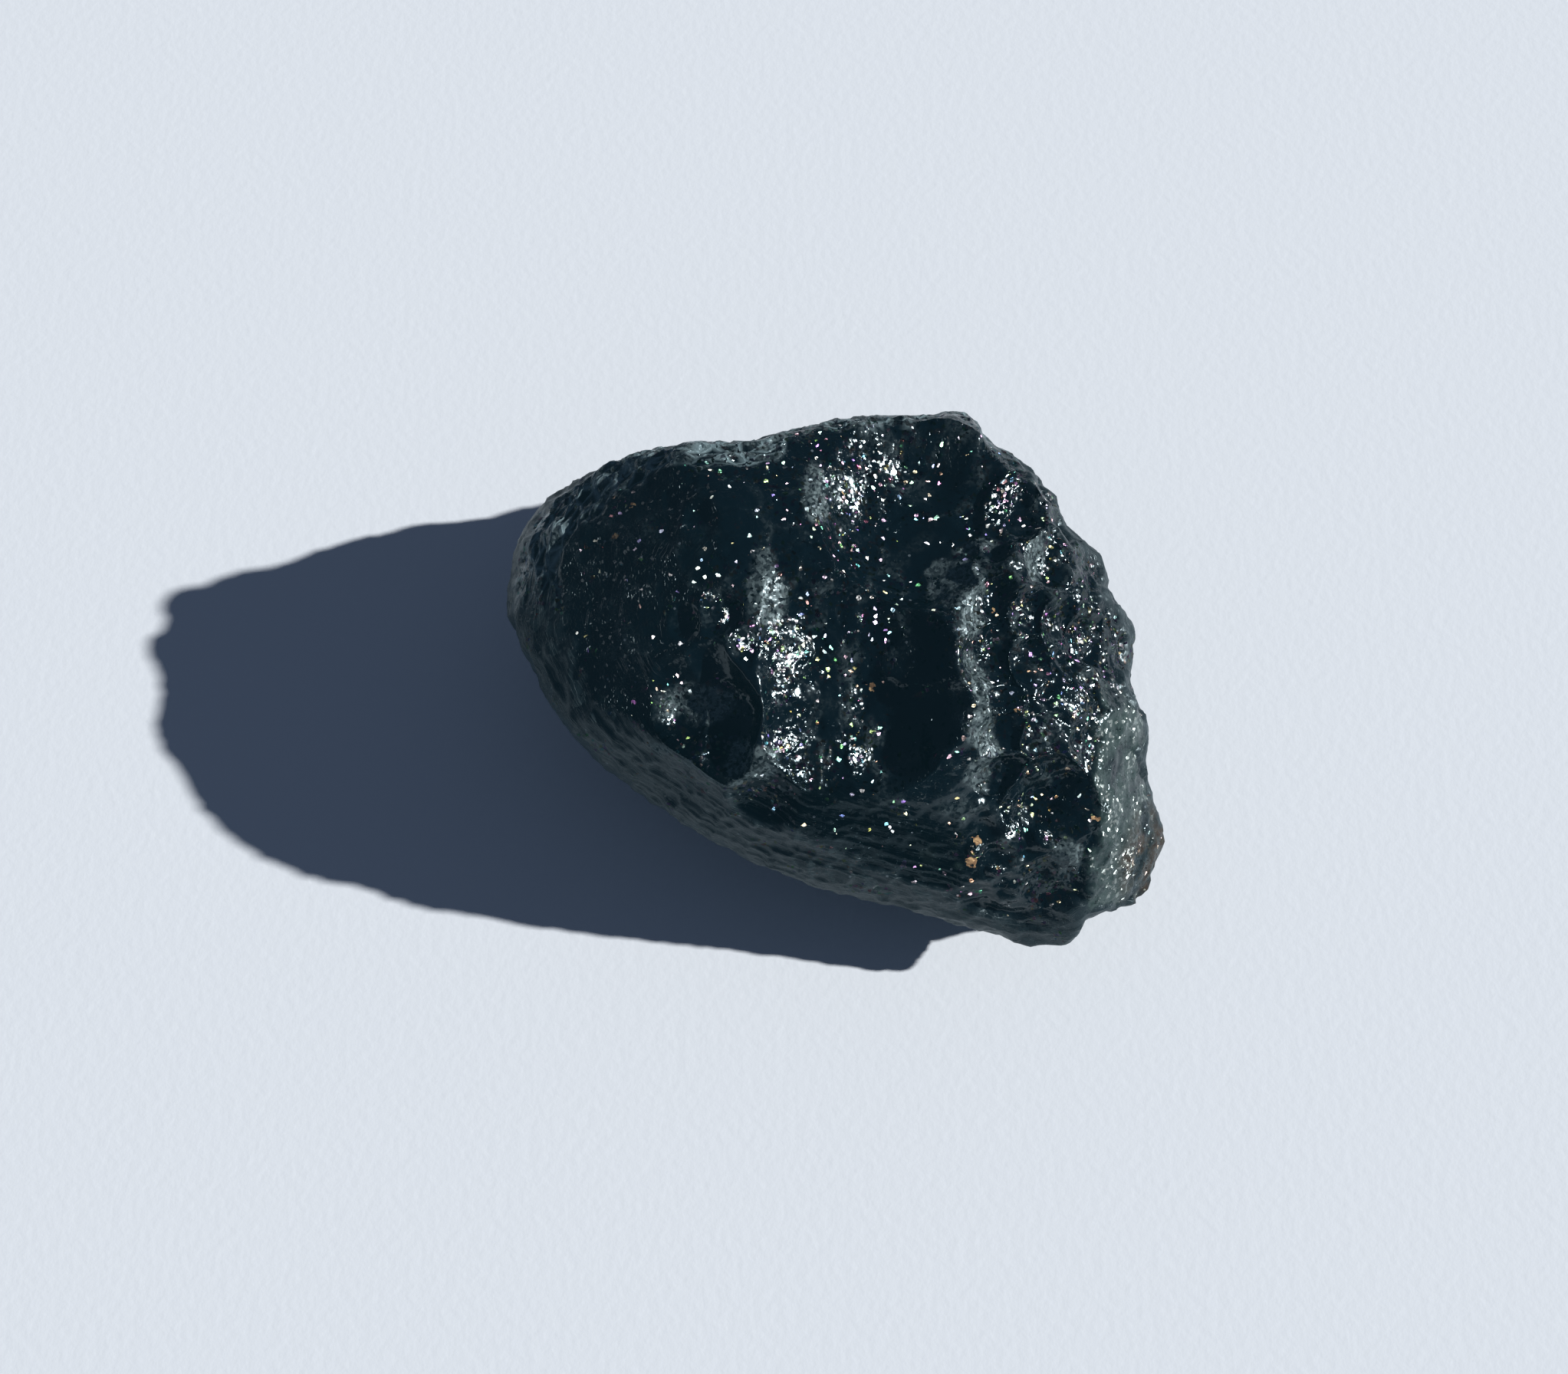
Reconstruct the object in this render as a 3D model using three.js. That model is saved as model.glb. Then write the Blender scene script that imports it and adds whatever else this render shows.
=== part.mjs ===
// A tektite: one lump of black natural glass, a blunt wedge with a deeply scooped broad face,
// a scalloped thin edge on its right and a rounded, dimpled back that it rests on.
//
// Millimetres, +Z up, standing on its flat spot at Z = 0.
// The form is worked out in the stone's own axes: u runs to the right across the scooped face,
// v up the face and w straight out of it, all from a core point inside the stone.
// Every point of the skin is found along a ray from that core point, so the solid is closed.

import * as THREE from 'three';
import { mergeVertices } from 'three/addons/utils/BufferGeometryUtils.js';

// ---- driving dimensions ----

const faceLean = 22; // degrees that the scooped face leans back from level
const core = { x: 0.52, y: -1.51, z: 10.2 }; // where the core point stands above the flat spot

// The middle plane of the wedge slopes down to the right and away, in mm per mm.
const middleSlope = { u: -0.17, v: -0.27 };

// How far the stone bulges before and behind its middle plane, and how square its section is.
// The back's deepest point lies off to one side: drift is in mm per mm of depth.
const front = { bulge: 15, squareness: 3.6, drift: { u: 0, v: 0 } };
const back = { bulge: 12.0, squareness: 2.05, drift: { u: -0.52, v: 0.28 } };

// The widest outline, as u and v, clockwise from the blunt nose on the left.
const outline = [
  [-21.0, 3.7], [-20.8, 6.0], [-20.3, 8.5], [-19.0, 10.7], [-16.4, 12.8],
  [-12.9, 14.3], [-9.3, 14.9], [-5.7, 15.1], [-3.4, 16.0], [-0.5, 16.6],
  [4.4, 17.0], [7.0, 17.3], [8.6, 17.0], [9.9, 15.3], [12.8, 12.9],
  [13.9, 11.3], [14.4, 9.6], [16.9, 7.3], [17.2, 5.5], [19.0, 2.9],
  [18.7, -0.5], [19.7, -3.9], [19.6, -5.9], [20.4, -8.8], [22.0, -11.7],
  [21.9, -13.7], [20.5, -14.8], [17.8, -15.1], [15.5, -15.4], [14.9, -16.7],
  [13.9, -17.6], [12.5, -17.9], [7.1, -16.3], [2.6, -14.8], [-2.9, -13.1],
  [-8.0, -10.7], [-12.4, -8.0], [-16.1, -4.8], [-19.0, -0.8], [-20.4, 1.9],
];

// Broad facets: each is a plane, w = height + u * across + v * up before the core point and
// w = -height + u * across + v * up behind it.
const facets = [
  { height: 14.9, across: 0.5, up: -0.2 }, // long slope down to the nose
  { height: 12.4, across: -0.12, up: -0.52 }, // from the top of the stone to the upper edge
  { height: 12.2, across: -0.08, up: 0.4 }, // from the top to the lower left
  { height: 22, across: 0.66, up: 1.1 }, // lower left wall
  { height: 10.8, across: 0.02, up: -0.06 }, // level that the hollow is sunk into
  { height: 14.3, across: -0.52, up: -0.12 }, // right face
  { height: 29.1, across: -1.42, up: 0.02 }, // flange along the right edge
  { height: 26.5, across: -1.2, up: -0.5 }, // chipped upper right edge
  { height: 22.5, across: 0.15, up: 1.3 }, // bevel along the lower edge
];
const backFacets = [
  { height: 14.0, across: 0.40, up: -0.40 }, // underside rising to the right edge
];
const facetBlend = 36; // higher is crisper

// Bowls pressed into the skin: u, v, radius at the rim and depth. Some are stretched along a
// direction turned from v, tipped sideways from square to the skin, or on the back, side -1.
const largeBowls = [
  { u: 2.6, v: 11.4, radius: 6, depth: 1.7, tip: { u: 0.25, v: -0.05 } }, // scoop at the upper edge
  { u: 1, v: -1.5, radius: 6.5, depth: 2.7, stretch: 1.15 }, // wide hollow beside the crest
  { u: -9, v: -2.3, radius: 3.3, depth: 1.2, stretch: 1.1, tip: { u: -0.1, v: 0 } }, // behind the ridge
  { u: -5.4, v: -7.6, radius: 3.1, depth: 1.1, tip: { u: 0.1, v: 0 } }, // hollow at the lower left
  { u: 12.5, v: -8.1, radius: 3, depth: 0.8, tip: { u: 0.15, v: 0 } }, // hollow low on the right face
];
const middleBowls = [
  { u: -6.6, v: -2.1, radius: 1.5, depth: 0.5, stretch: 2.2, tip: { u: -0.2, v: 0 } }, // left of the ridge
  { u: -3.5, v: 1.4, radius: 2.3, depth: 0.3, stretch: 1.1, tip: { u: 0.07, v: 0.42 } }, // right of the ridge
  { u: -3.4, v: -3.9, radius: 1.7, depth: 0.2, stretch: 1.1, tip: { u: 0, v: -0.06 } },
  { u: -3.3, v: -1.4, radius: 0.9, depth: 0.12 },
  { u: -3.6, v: 5, radius: 1.8, depth: 0.6, stretch: 1.2, tip: { u: 0.3, v: 0 } },
  { u: -6.1, v: 1.9, radius: 1.3, depth: 0.4, tip: { u: 0.25, v: 0 } },
  { u: -7.9, v: 4.1, radius: 1.5, depth: 0.5, tip: { u: 0.25, v: 0 } },
  { u: -10.1, v: 3.2, radius: 1.1, depth: 0.4, tip: { u: 0.3, v: 0 } },
  { u: -9.8, v: 8.8, radius: 1.1, depth: 0.25, tip: { u: 0.1, v: 0 } },
  { u: -8.4, v: -4.3, radius: 1.1, depth: 0.35, tip: { u: 0.3, v: 0 } },
  { u: -11.3, v: -3, radius: 1.1, depth: 0.3, stretch: 1.2, tip: { u: 0.3, v: 0 } },
  { u: 1.4, v: 3.8, radius: 1.9, depth: 0.6, stretch: 1.1, tip: { u: 0.3, v: 0 } }, // in the wide hollow
  { u: 1.1, v: -4.4, radius: 1.7, depth: 0.4, stretch: 1.2, tip: { u: 0.3, v: 0 } },
  { u: 0.5, v: -1.2, radius: 1.2, depth: 0.25, tip: { u: 0.3, v: 0 } },
  { u: 4.1, v: 5.4, radius: 1.7, depth: 0.5, tip: { u: 0.3, v: 0 } },
  { u: 1.4, v: 7.1, radius: 1.5, depth: 0.5, tip: { u: 0.3, v: 0 } },
  { u: 0.5, v: 11.5, radius: 2.2, depth: 0.35, stretch: 1.2, tip: { u: -0.03, v: -0.35 } }, // in the scoop
  { u: 3.9, v: 13.4, radius: 1.8, depth: 0.4, tip: { u: 0.25, v: -0.2 } },
  { u: 8.3, v: 7, radius: 1.8, depth: 0.9, tip: { u: 0.35, v: 0 } }, // chain of bowls along the crest
  { u: 8.8, v: 4.4, radius: 1.6, depth: 0.8, tip: { u: 0.35, v: 0 } },
  { u: 9, v: 1.6, radius: 1.8, depth: 0.9, stretch: 1.2, tip: { u: 0.35, v: 0 } },
  { u: 9.2, v: -0.9, radius: 1.4, depth: 0.7, tip: { u: 0.35, v: 0 } },
  { u: 8.8, v: -3.4, radius: 1.8, depth: 0.9, stretch: 1.1, tip: { u: 0.35, v: 0 } },
  { u: 8.7, v: -6.3, radius: 1.5, depth: 0.7, tip: { u: 0.3, v: 0 } },
  { u: 10.5, v: 10.8, radius: 1.7, depth: 0.4, stretch: 1.1, tip: { u: 0.25, v: -0.1 } }, // of the right face
  { u: 12.6, v: 6.9, radius: 2, depth: 0.7, stretch: 1.2, tip: { u: 0.1, v: 0 } },
  { u: 11.3, v: 3.4, radius: 1.5, depth: 0.6, tip: { u: 0.1, v: 0 } },
  { u: 13.9, v: 3.2, radius: 1.4, depth: 0.5 },
  { u: 15.9, v: 2.2, radius: 1.2, depth: 0.25, tip: { u: -0.3, v: 0 } },
  { u: 11.5, v: 0.3, radius: 1.5, depth: 0.6, tip: { u: 0.1, v: 0 } },
  { u: 13.7, v: -1.9, radius: 1.8, depth: 0.28, tip: { u: 0.04, v: 0 } },
  { u: 10.1, v: -3.4, radius: 0.8, depth: 0.35 },
  { u: 11.6, v: -4.2, radius: 1.6, depth: 0.6, tip: { u: 0.1, v: 0 } },
  { u: 14.6, v: -5, radius: 1.4, depth: 0.45 },
  { u: 11.4, v: -8.1, radius: 1.5, depth: 0.4, tip: { u: 0.2, v: 0.1 } },
  { u: 13, v: -13.6, radius: 1.9, depth: 0.4, tip: { u: 0.1, v: 0 } },
];
const rimSoftness = 0.15; // rounding where a bowl meets the skin

// Waves that bend the rims a little: how far each shifts a ray, and its pace.
const waves = [{ size: 0.034, pace: 7 }, { size: 0.016, pace: 17 }];
const wavePhase = { u: 0.3, v: 1.7 };

// Dimples all over the rounded back, spaced along a spiral.
const backDimples = { count: 64, radius: 1.9, depth: 0.34, variation: 0.45 };

const flatten = 0.75; // draws the mesh's rays towards the thin edge of the wedge
const lift = 0.22; // and towards the scooped face
const meshDetail = 20; // 20 * (meshDetail + 1) ** 2 triangles

// ---- outline as a smooth closed curve: radius from the core point for any direction ----

const fullTurn = 2 * Math.PI;
const knots = outline
  .map(([u, v]) => ({ angle: Math.atan2(v, u), radius: Math.hypot(u, v) }))
  .sort((a, b) => a.angle - b.angle);

function knotAt(index) {
  const turns = Math.floor(index / knots.length);
  const knot = knots[index - turns * knots.length];
  return { angle: knot.angle + turns * fullTurn, radius: knot.radius };
}

function slopeAt(index) {
  const before = knotAt(index - 1);
  const after = knotAt(index + 1);
  return (after.radius - before.radius) / (after.angle - before.angle);
}

function outlineRadius(angle) {
  let index = knots.length - 1;
  while (index >= 0 && knots[index].angle > angle) index -= 1;
  const start = knotAt(index);
  const end = knotAt(index + 1);
  const span = end.angle - start.angle;
  const t = (angle - start.angle) / span;
  const rise = t * t * (3 - 2 * t);
  const leave = t * (1 - t) ** 2 * span;
  const arrive = t * t * (t - 1) * span;
  return start.radius * (1 - rise) + end.radius * rise
    + slopeAt(index) * leave + slopeAt(index + 1) * arrive;
}

// ---- the skin: distance from the core point along a unit ray ----

function wander(ray) {
  const bent = ray.clone();
  for (const { size, pace } of waves) {
    const { x, y, z } = bent;
    bent.x = x + size * Math.sin(pace * y + wavePhase.u);
    bent.y = y + size * Math.sin(pace * z + wavePhase.v);
  }
  return bent;
}

function bodyDistance(ray, bent) {
  const height = ray.z - middleSlope.u * ray.x - middleSlope.v * ray.y;
  const side = height > 0 ? front : back;
  const u = ray.x - side.drift.u * Math.abs(height);
  const v = ray.y - side.drift.v * Math.abs(height);
  const sideways = Math.hypot(u, v) / outlineRadius(Math.atan2(v, u));
  const outwards = Math.abs(height) / side.bulge;
  const round = (sideways ** side.squareness + outwards ** side.squareness) ** (1 / side.squareness);
  let sum = round ** facetBlend;
  for (const facet of facets) {
    const steepness = (bent.z - facet.across * bent.x - facet.up * bent.y) / facet.height;
    sum += Math.max(steepness, 0) ** facetBlend;
  }
  for (const facet of backFacets) {
    const steepness = (facet.across * ray.x + facet.up * ray.y - ray.z) / facet.height;
    sum += Math.max(steepness, 0) ** facetBlend;
  }
  return sum ** (-1 / facetBlend);
}

function squeeze(vector, bowl) {
  const along = vector.dot(bowl.axis) * (1 - 1 / bowl.stretch);
  return vector.clone().addScaledVector(bowl.axis, -along);
}

function bowlDistance(ray, bowl) {
  const direction = squeeze(ray, bowl);
  const a = direction.lengthSq();
  const b = direction.dot(bowl.seat);
  const c = bowl.seat.lengthSq() - bowl.ballRadius ** 2;
  const inside = b * b - a * c;
  return inside > 0 && b > 0 ? (b - Math.sqrt(inside)) / a : Infinity;
}

function softMin(a, b) {
  const overlap = Math.max(rimSoftness - Math.abs(a - b), 0) / rimSoftness;
  return Math.min(a, b) - overlap * overlap * rimSoftness / 4;
}

function skinDistance(ray, bowls) {
  const bent = wander(ray);
  let distance = bodyDistance(ray, bent);
  for (const bowl of bowls) distance = softMin(distance, bowlDistance(bent, bowl));
  return distance;
}

// ---- bowls, each pressed into the skin that the larger ones left ----

function heightOutside(point, bowls) {
  return point.length() - skinDistance(point.clone().normalize(), bowls);
}

function skinPoint(u, v, side, bowls) {
  let inside = 0;
  let outside = 30;
  for (let step = 0; step < 30; step += 1) {
    const middle = (inside + outside) / 2;
    if (heightOutside(new THREE.Vector3(u, v, side * middle), bowls) < 0) inside = middle;
    else outside = middle;
  }
  return new THREE.Vector3(u, v, side * inside);
}

function skinNormal(point, bowls) {
  const reach = 0.4;
  const slope = ['x', 'y', 'z'].map((axis) => {
    const ahead = point.clone();
    const behind = point.clone();
    ahead[axis] += reach;
    behind[axis] -= reach;
    return heightOutside(ahead, bowls) - heightOutside(behind, bowls);
  });
  return new THREE.Vector3(...slope).normalize();
}

function pressBowl({ u, v, radius, depth, stretch = 1, turn = 0, tip = { u: 0, v: 0 }, side = 1 }, bowls) {
  const foot = skinPoint(u, v, side, bowls);
  const normal = skinNormal(foot, bowls).add(new THREE.Vector3(tip.u, tip.v, 0)).normalize();
  const angle = THREE.MathUtils.degToRad(turn);
  const axis = new THREE.Vector3(-Math.sin(angle), Math.cos(angle), 0);
  axis.addScaledVector(normal, -axis.dot(normal)).normalize();
  const ballRadius = (radius ** 2 + depth ** 2) / (2 * depth);
  const centre = foot.addScaledVector(normal, ballRadius - depth);
  const bowl = { axis, stretch, ballRadius };
  bowl.seat = squeeze(centre, bowl);
  return bowl;
}

function dimplesOnBack() {
  const goldenAngle = Math.PI * (3 - Math.sqrt(5));
  const dimples = [];
  for (let n = 0; n < backDimples.count; n += 1) {
    const angle = n * goldenAngle;
    const reach = 0.93 * Math.sqrt((n + 0.5) / backDimples.count);
    const turned = Math.atan2(Math.sin(angle), Math.cos(angle));
    const distance = reach * outlineRadius(turned);
    const size = 1 + backDimples.variation * Math.sin(n * n + 1);
    dimples.push({
      u: distance * Math.cos(turned),
      v: distance * Math.sin(turned),
      radius: backDimples.radius * size,
      depth: backDimples.depth * size,
      side: -1,
    });
  }
  return dimples;
}

const bowls = [];
for (const group of [largeBowls, middleBowls, dimplesOnBack()]) {
  const pressed = group.map((bowl) => pressBowl(bowl, bowls));
  bowls.push(...pressed);
}

// ---- the solid ----

const lean = THREE.MathUtils.degToRad(faceLean);
const uprightAxis = new THREE.Vector3(0, Math.sin(lean), Math.cos(lean));

function stonePoint(direction) {
  const shear = middleSlope.u * direction.x + middleSlope.v * direction.y;
  const ray = new THREE.Vector3(direction.x, direction.y, direction.z * flatten + lift + shear).normalize();
  const climb = ray.dot(uprightAxis);
  const floorDistance = climb < 0 ? core.z / -climb : Infinity;
  const distance = skinDistance(ray, bowls);
  const point = ray.clone().multiplyScalar(Math.min(distance, floorDistance));
  point.applyAxisAngle(new THREE.Vector3(1, 0, 0), lean);
  point.add(new THREE.Vector3(core.x, core.y, core.z));
  if (floorDistance < distance) point.z = 0;
  return point;
}

function stoneGeometry() {
  const ball = new THREE.IcosahedronGeometry(1, meshDetail);
  ball.deleteAttribute('normal');
  ball.deleteAttribute('uv');
  const geometry = mergeVertices(ball);
  const positions = geometry.getAttribute('position');
  for (let i = 0; i < positions.count; i += 1) {
    const direction = new THREE.Vector3().fromBufferAttribute(positions, i);
    const point = stonePoint(direction);
    positions.setXYZ(i, point.x, point.y, point.z);
  }
  geometry.computeVertexNormals();
  return geometry;
}

const blackGlass = new THREE.MeshStandardMaterial({ color: 0x141b1f, roughness: 0.15, metalness: 0 });

const tektite = new THREE.Mesh(stoneGeometry(), blackGlass);
tektite.name = 'tektite';

const stone = new THREE.Group();
stone.add(tektite);

export default stone;
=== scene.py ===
# A tektite: one lump of black natural glass on a pale floor.
# The skin is worked out along rays from a core point inside the stone, in the stone's own axes:
# u to the right across the scooped face, v up the face and w straight out of it, in millimetres.
import bpy
import numpy as np
from mathutils import Matrix, Vector


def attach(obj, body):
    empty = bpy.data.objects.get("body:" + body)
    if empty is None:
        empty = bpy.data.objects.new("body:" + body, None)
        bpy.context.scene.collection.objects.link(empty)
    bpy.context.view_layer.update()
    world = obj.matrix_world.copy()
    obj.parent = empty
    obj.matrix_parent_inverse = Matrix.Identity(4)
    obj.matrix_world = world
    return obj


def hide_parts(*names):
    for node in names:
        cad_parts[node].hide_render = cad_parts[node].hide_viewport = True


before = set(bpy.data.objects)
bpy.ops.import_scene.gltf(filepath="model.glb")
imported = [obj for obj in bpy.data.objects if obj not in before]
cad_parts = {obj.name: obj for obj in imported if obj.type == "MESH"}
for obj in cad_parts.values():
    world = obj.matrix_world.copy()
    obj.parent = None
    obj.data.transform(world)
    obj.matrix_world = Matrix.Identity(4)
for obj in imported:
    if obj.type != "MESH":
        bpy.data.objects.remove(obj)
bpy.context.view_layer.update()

millimetre = 0.001

stone = {
    "name": "tektite_stone",
    "faceLean": 22.0,               # degrees that the scooped face leans back from level
    "core": (0.52, -1.51, 10.2),    # where the core point stands above the flat spot
    "middleSlope": (-0.17, -0.27),  # slope of the wedge's middle plane along u and v
    "frontBulge": 15.0, "frontSquareness": 3.6,
    "backBulge": 12.0, "backSquareness": 2.05, "backDrift": (-0.52, 0.28),
    "facetBlend": 36,               # higher is crisper
    "rimSoftness": 0.15,            # rounding where a bowl meets the skin
    "scoopBorder": (0.1, 0.4),      # depths between which a bowl's glass takes over from the skin's
    "waves": ((0.034, 7), (0.016, 17)),   # size and pace of the waves that bend the rims
    "wavePhase": (0.3, 1.7),
    "farthest": 30.0, "halvings": 30, "slopeReach": 0.4,  # of the search for the skin and its slope
    "gridSteps": 128,               # quads along each side of the ball that the skin starts from
    "flatten": 0.75,                # draws the rays towards the thin edge of the wedge
    "lift": 0.22,                   # and towards the scooped face
    "reliefFacing": (0.1, 0.4),     # the relief fades where the skin turns edge-on to its ray
}

# the widest outline, clockwise from the blunt nose on the left
outline = [
    (-21.0, 3.7), (-20.8, 6.0), (-20.3, 8.5), (-19.0, 10.7), (-16.4, 12.8),
    (-12.9, 14.3), (-9.3, 14.9), (-5.7, 15.1), (-3.4, 16.0), (-0.5, 16.6),
    (4.4, 17.0), (7.0, 17.3), (8.6, 17.0), (9.9, 15.3), (12.8, 12.9),
    (13.9, 11.3), (14.4, 9.6), (16.9, 7.3), (17.2, 5.5), (19.0, 2.9),
    (18.7, -0.5), (19.7, -3.9), (19.6, -5.9), (20.4, -8.8), (22.0, -11.7),
    (21.9, -13.7), (20.5, -14.8), (17.8, -15.1), (15.5, -15.4), (14.9, -16.7),
    (13.9, -17.6), (12.5, -17.9), (7.1, -16.3), (2.6, -14.8), (-2.9, -13.1),
    (-8.0, -10.7), (-12.4, -8.0), (-16.1, -4.8), (-19.0, -0.8), (-20.4, 1.9),
]

# broad planes: height at the core point, slope along u, slope along v
facets = [
    (14.9, 0.50, -0.20),   # long slope down to the nose
    (12.4, -0.12, -0.52),  # from the top of the stone to the upper edge
    (12.2, -0.08, 0.40),   # from the top to the lower left
    (22.0, 0.66, 1.10),    # lower left wall
    (10.8, 0.02, -0.06),   # level that the hollow is sunk into
    (14.3, -0.52, -0.12),  # right face
    (29.1, -1.42, 0.02),   # flange along the right edge
    (26.5, -1.20, -0.50),  # chipped upper right edge
    (22.5, 0.15, 1.30),    # bevel along the lower edge
]
backFacets = [
    (14.0, 0.40, -0.40),   # underside rising to the right edge
]
satinFacets, flangeFacets = (0, 2, 3, 8), (6, 7)  # rows of the facets with each skin

# bowls: u, v, radius at the rim, depth, stretch along v, tip along u and along v
largeBowls = [
    (2.6, 11.4, 6.0, 1.7, 1.0, 0.25, -0.05),  # scoop at the upper edge
    (1.0, -1.5, 6.5, 2.7, 1.15, 0.0, 0.0),    # wide hollow that rises to the crest
    (-9.0, -2.3, 3.3, 1.2, 1.1, -0.1, 0.0),   # hollow behind the ridge
    (-5.4, -7.6, 3.1, 1.1, 1.0, 0.1, 0.0),    # hollow at the lower left
    (12.5, -8.1, 3.0, 0.8, 1.0, 0.15, 0.0),   # hollow low on the right face
]
middleBowls = [
    (-6.6, -2.1, 1.5, 0.5, 2.2, -0.2, 0.0),     # left of the ridge
    (-3.5, 1.4, 2.3, 0.3, 1.1, 0.07, 0.42),     # right of the ridge
    (-3.4, -3.9, 1.7, 0.2, 1.1, 0.0, -0.06),
    (-3.3, -1.4, 0.9, 0.12, 1.0, 0.0, 0.0),
    (-3.6, 5.0, 1.8, 0.6, 1.2, 0.3, 0.0),
    (-6.1, 1.9, 1.3, 0.4, 1.0, 0.25, 0.0),
    (-7.9, 4.1, 1.5, 0.5, 1.0, 0.25, 0.0),
    (-10.1, 3.2, 1.1, 0.4, 1.0, 0.3, 0.0),
    (-9.8, 8.8, 1.1, 0.25, 1.0, 0.1, 0.0),
    (-8.4, -4.3, 1.1, 0.35, 1.0, 0.3, 0.0),
    (-11.3, -3.0, 1.1, 0.3, 1.2, 0.3, 0.0),
    (1.4, 3.8, 1.9, 0.6, 1.1, 0.3, 0.0),        # in the wide hollow
    (1.1, -4.4, 1.7, 0.4, 1.2, 0.3, 0.0),
    (0.5, -1.2, 1.2, 0.25, 1.0, 0.3, 0.0),
    (4.1, 5.4, 1.7, 0.5, 1.0, 0.3, 0.0),
    (1.4, 7.1, 1.5, 0.5, 1.0, 0.3, 0.0),
    (0.5, 11.5, 2.2, 0.35, 1.2, -0.03, -0.35),  # in the scoop
    (3.9, 13.4, 1.8, 0.4, 1.0, 0.25, -0.2),
    (8.3, 7.0, 1.8, 0.9, 1.0, 0.35, 0.0),       # chain of bowls along the crest
    (8.8, 4.4, 1.6, 0.8, 1.0, 0.35, 0.0),
    (9.0, 1.6, 1.8, 0.9, 1.2, 0.35, 0.0),
    (9.2, -0.9, 1.4, 0.7, 1.0, 0.35, 0.0),
    (8.8, -3.4, 1.8, 0.9, 1.1, 0.35, 0.0),
    (8.7, -6.3, 1.5, 0.7, 1.0, 0.3, 0.0),
    (10.5, 10.8, 1.7, 0.4, 1.1, 0.25, -0.1),    # of the right face
    (12.6, 6.9, 2.0, 0.7, 1.2, 0.1, 0.0),
    (11.3, 3.4, 1.5, 0.6, 1.0, 0.1, 0.0),
    (13.9, 3.2, 1.4, 0.5, 1.0, 0.0, 0.0),
    (15.9, 2.2, 1.2, 0.25, 1.0, -0.3, 0.0),
    (11.5, 0.3, 1.5, 0.6, 1.0, 0.1, 0.0),
    (13.7, -1.9, 1.8, 0.28, 1.0, 0.04, 0.0),
    (10.1, -3.4, 0.8, 0.35, 1.0, 0.0, 0.0),
    (11.6, -4.2, 1.6, 0.6, 1.0, 0.1, 0.0),
    (14.6, -5.0, 1.4, 0.45, 1.0, 0.0, 0.0),
    (11.4, -8.1, 1.5, 0.4, 1.0, 0.2, 0.1),
    (13.0, -13.6, 1.9, 0.4, 1.0, 0.1, 0.0),
]
backDimples = {"count": 64, "radius": 1.9, "depth": 0.34, "variation": 0.45, "spread": 0.93}


mixing = {
    "axisFactors": (73856093, 19349663, 83492791), "seedFactor": 2654435761,
    "folds": ((15, 2246822519), (13, 3266489917)), "lastFold": 16, "largest": 0xFFFFFFFF,
}


def scramble(cells, seed):
    # three whole numbers a cell, mixed by multiplying and folding the bits, to a fraction from 0 to 1
    mix = seed * mixing["seedFactor"]
    for axis, factor in enumerate(mixing["axisFactors"]):
        mix = mix ^ cells[..., axis] * factor
    mix = (mix & mixing["largest"]).astype(np.uint64)
    for shift, factor in mixing["folds"]:
        mix = (mix ^ (mix >> np.uint64(shift))) * np.uint64(factor) & np.uint64(mixing["largest"])
    mix = mix ^ (mix >> np.uint64(mixing["lastFold"]))
    return mix.astype(float) / mixing["largest"]


def softNoise(points, seed):
    # a value from -1 to 1 at each lattice corner, blended by 3t2 - 2t3 along each axis
    low = np.floor(points).astype(np.int64)
    t = points - low
    t = t * t * (3 - 2 * t)
    total = np.zeros(len(points))
    for corner in np.ndindex(2, 2, 2):
        weight = np.prod(np.where(corner, t, 1 - t), axis=1)
        total += weight * scramble(low + np.array(corner), seed)
    return 2 * total - 1


def wave(points, weight, size, seed):
    # soft noise of this size times its weight
    return weight * softNoise(points / size, seed)


def nearestCell(points, seed):
    # distance to the nearest of one random point a unit cell, over the 27 cells around
    low = np.floor(points).astype(np.int64)
    nearest = np.full(len(points), np.inf)
    for step in np.ndindex(3, 3, 3):
        cell = low + np.array(step) - 1
        centre = cell + np.stack([scramble(cell, seed + k) for k in range(3)], axis=1)
        nearest = np.minimum(nearest, np.linalg.norm(points - centre, axis=1))
    return nearest


def smoothStep(value, start, end):
    # 0 before the start, 1 past the end and 3t2 - 2t3 between
    t = np.clip((value - start) / (end - start), 0, 1)
    return t * t * (3 - 2 * t)


def outlineRadius(angle):
    # cubic Hermite through the outline's points, as radius against angle, closed over a full turn
    points = np.array(outline)
    knotAngle = np.arctan2(points[:, 1], points[:, 0])
    knotRadius = np.hypot(points[:, 0], points[:, 1])
    order = np.argsort(knotAngle)
    turn = 2 * np.pi
    knotAngle = np.concatenate([knotAngle[order][-2:] - turn, knotAngle[order], knotAngle[order][:2] + turn])
    knotRadius = np.concatenate([knotRadius[order][-2:], knotRadius[order], knotRadius[order][:2]])
    slope = np.gradient(knotRadius)
    slope[1:-1] = (knotRadius[2:] - knotRadius[:-2]) / (knotAngle[2:] - knotAngle[:-2])
    start = np.clip(np.searchsorted(knotAngle, angle, side="right") - 1, 1, len(knotAngle) - 3)
    span = knotAngle[start + 1] - knotAngle[start]
    t = (angle - knotAngle[start]) / span
    rise = t * t * (3 - 2 * t)
    leave = t * (1 - t) ** 2 * span
    arrive = t * t * (t - 1) * span
    return (knotRadius[start] * (1 - rise) + knotRadius[start + 1] * rise
            + slope[start] * leave + slope[start + 1] * arrive)


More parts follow.
